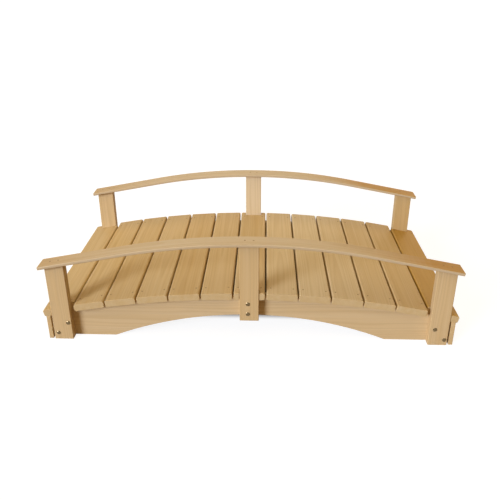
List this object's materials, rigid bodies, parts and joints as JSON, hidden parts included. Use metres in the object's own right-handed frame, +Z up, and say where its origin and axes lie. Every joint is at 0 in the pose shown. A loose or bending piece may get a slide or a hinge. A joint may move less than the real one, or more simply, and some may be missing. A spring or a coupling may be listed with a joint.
{
  "type": "garden foot bridge",
  "caption": "Arched timber garden foot bridge: spaced deck planks on two arched stringers, with posts bolted to the sides and low bent handrails over them.",
  "frame": {"origin": "on the ground under the middle of the bridge", "axes": "+X along the walkway, to the right in the front view; -Y towards the front handrail; +Z up"},
  "size_m": [1.943, 0.97, 0.5308],
  "materials": {
    "deck_timber": "planed, clear oil finish",
    "frame_timber": "planed, clear oil finish",
    "rail_timber": "planed, clear oil finish"
  },
  "bodies": {
    "root": {"plank_01": "deck_timber", "plank_02": "deck_timber", "plank_03": "deck_timber", "plank_04": "deck_timber", "plank_05": "deck_timber", "plank_06": "deck_timber", "plank_07": "deck_timber", "plank_08": "deck_timber", "plank_09": "deck_timber", "plank_10": "deck_timber", "plank_11": "deck_timber", "plank_12": "deck_timber", "plank_13": "deck_timber", "front_stringer": "frame_timber", "back_stringer": "frame_timber", "left_end_board": "frame_timber", "right_end_board": "frame_timber", "front_left_post": "frame_timber", "front_middle_post": "frame_timber", "front_right_post": "frame_timber", "back_left_post": "frame_timber", "back_middle_post": "frame_timber", "back_right_post": "frame_timber", "front_handrail": "rail_timber", "back_handrail": "rail_timber"}
  },
  "joints": []
}
